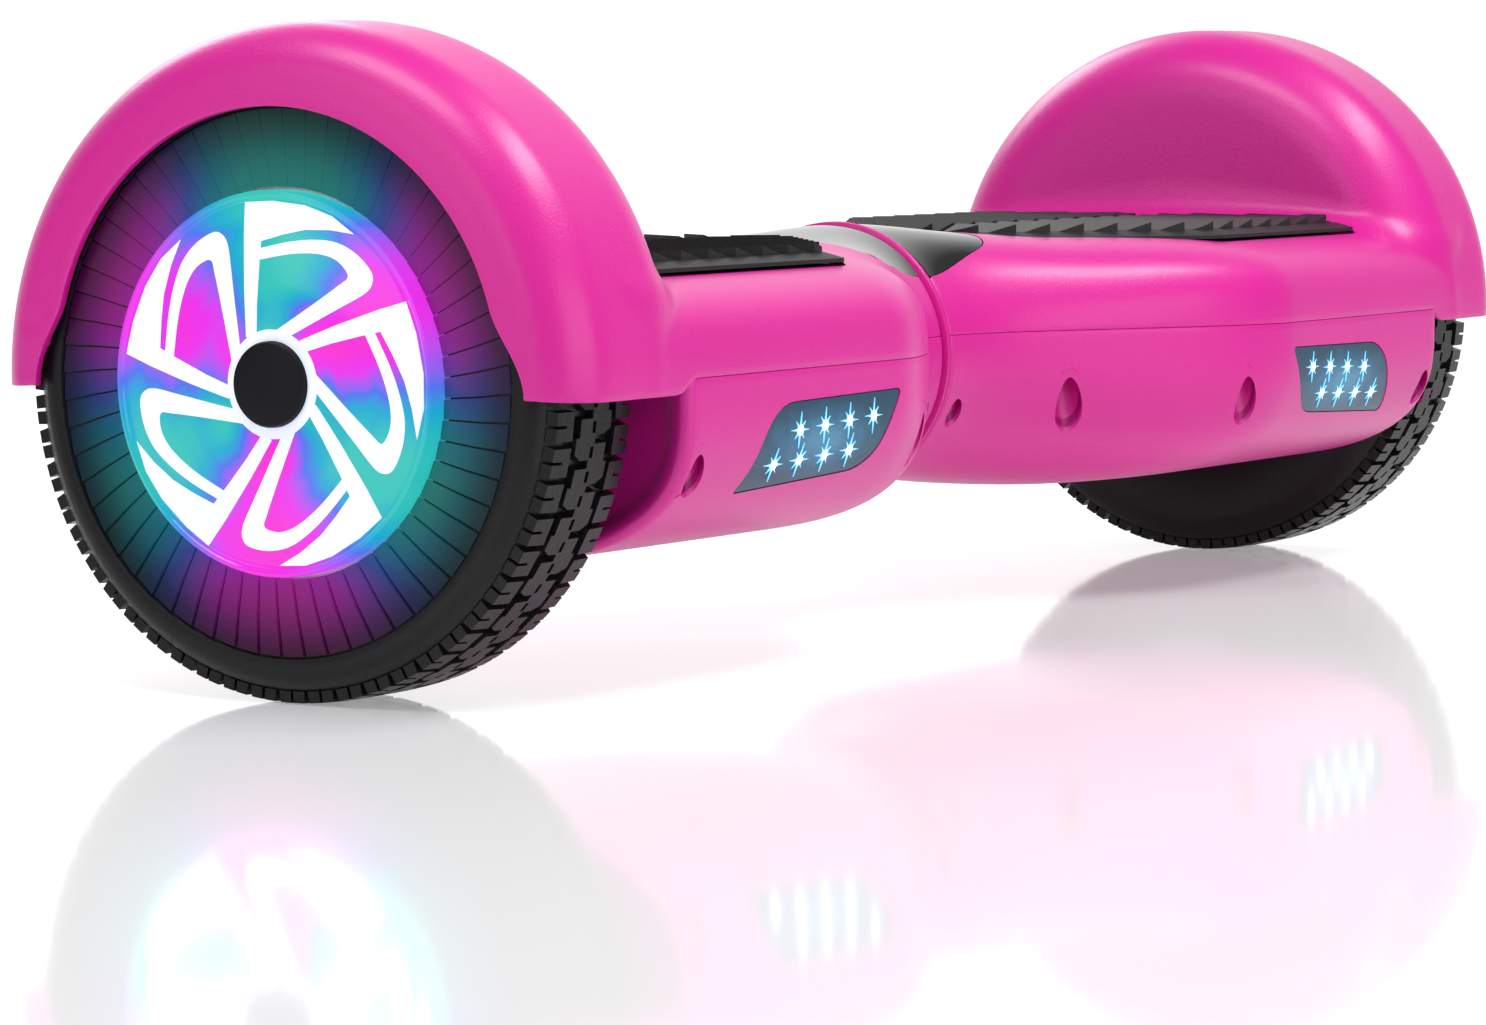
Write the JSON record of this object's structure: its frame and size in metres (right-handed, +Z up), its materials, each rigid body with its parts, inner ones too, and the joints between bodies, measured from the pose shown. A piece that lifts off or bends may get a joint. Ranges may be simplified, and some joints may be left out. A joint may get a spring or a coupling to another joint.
{
  "type": "self balancing hoverboard",
  "caption": "Self balancing hoverboard with two twisting half bodies, hub motor wheels under mudguards, sprung foot mats and headlights.",
  "frame": {"origin": "on the floor, midway between the wheels, under the middle of the body", "axes": "+X along the board towards its right half, +Y towards the back, with the headlights at -Y, +Z up"},
  "size_m": [0.584, 0.188, 0.178],
  "materials": {
    "shell": "satin moulded",
    "frame": "cast",
    "steel": "turned",
    "laminations": "laminated",
    "copper": "enamelled wire",
    "magnet": "nickel plated",
    "board": "circuit board",
    "white_board": "circuit board",
    "battery": "shrink wrap",
    "lead": "matt",
    "lens": "glossy",
    "panel": "glossy",
    "bush": "matt",
    "fitting": "matt",
    "tyre": "rubber",
    "light_disc": "clear printed",
    "mat": "matt"
  },
  "bodies": {
    "left_half": {"upper_shell_left": "shell", "lower_shell_left": "shell", "frame_left": "frame", "axle_clamp_left": "steel", "clamp_bolts_left": "steel", "axle_left": "steel", "stator_left": "laminations", "windings_left": "copper", "sensor_board_left": "board", "headlight_lens_left": "lens", "headlight_board_left": "board", "indicator_panel_left": "panel", "shell_screws_left": "steel", "battery_pack": "battery", "battery_lead": "lead", "joint_trim_ring": "shell", "pivot_bushes": "bush"},
    "right_half": {"upper_shell_right": "shell", "lower_shell_right": "shell", "frame_right": "frame", "axle_clamp_right": "steel", "clamp_bolts_right": "steel", "axle_right": "steel", "stator_right": "laminations", "windings_right": "copper", "sensor_board_right": "board", "headlight_lens_right": "lens", "headlight_board_right": "board", "indicator_panel_right": "panel", "shell_screws_right": "steel", "pivot_tube": "steel", "retaining_ring": "steel", "main_board": "board", "heat_sink": "frame", "wiring_loom": "fitting", "speaker": "fitting", "charge_port": "fitting", "button_housing": "fitting"},
    "left_wheel": {"hub_casting_left": "frame", "magnets_left": "magnet", "motor_cover_left": "frame", "bearings_left": "steel", "tyre_left": "tyre", "light_board_left": "white_board", "light_disc_left": "light_disc", "hub_cap_left": "fitting", "cover_screws_left": "steel"},
    "right_wheel": {"hub_casting_right": "frame", "magnets_right": "magnet", "motor_cover_right": "frame", "bearings_right": "steel", "tyre_right": "tyre", "light_board_right": "white_board", "light_disc_right": "light_disc", "hub_cap_right": "fitting", "cover_screws_right": "steel"},
    "left_mat": {"foot_mat_left": "mat"},
    "right_mat": {"foot_mat_right": "mat"},
    "power_button": {"power_button": "fitting"},
    "port_cap": {"charge_port_cap": "fitting"}
  },
  "joints": [
    {"name": "twist", "type": "hinge", "parent": "left_half", "child": "right_half", "pos_m": [0, 0, 0.079], "axis": [1, 0, 0], "range_deg": [-12, 12]},
    {"name": "left_wheel_spin", "type": "hinge", "parent": "left_half", "child": "left_wheel", "pos_m": [-0.265, 0, 0.084], "axis": [1, 0, 0], "continuous": true},
    {"name": "right_wheel_spin", "type": "hinge", "parent": "right_half", "child": "right_wheel", "pos_m": [0.265, 0, 0.084], "axis": [1, 0, 0], "continuous": true},
    {"name": "left_mat_press", "type": "slide", "parent": "left_half", "child": "left_mat", "axis": [0, 0, -1], "range_m": [0, 0.0015], "stiffness_N_per_m": 60000},
    {"name": "right_mat_press", "type": "slide", "parent": "right_half", "child": "right_mat", "axis": [0, 0, -1], "range_m": [0, 0.0015], "stiffness_N_per_m": 60000},
    {"name": "power_button_press", "type": "slide", "parent": "right_half", "child": "power_button", "axis": [0, -1, 0], "range_m": [0, 0.001], "stiffness_N_per_m": 800},
    {"name": "port_cap_open", "type": "hinge", "parent": "right_half", "child": "port_cap", "pos_m": [0.15, 0.0914, 0.0732], "axis": [1, 0, 0], "range_deg": [0, 105]}
  ]
}
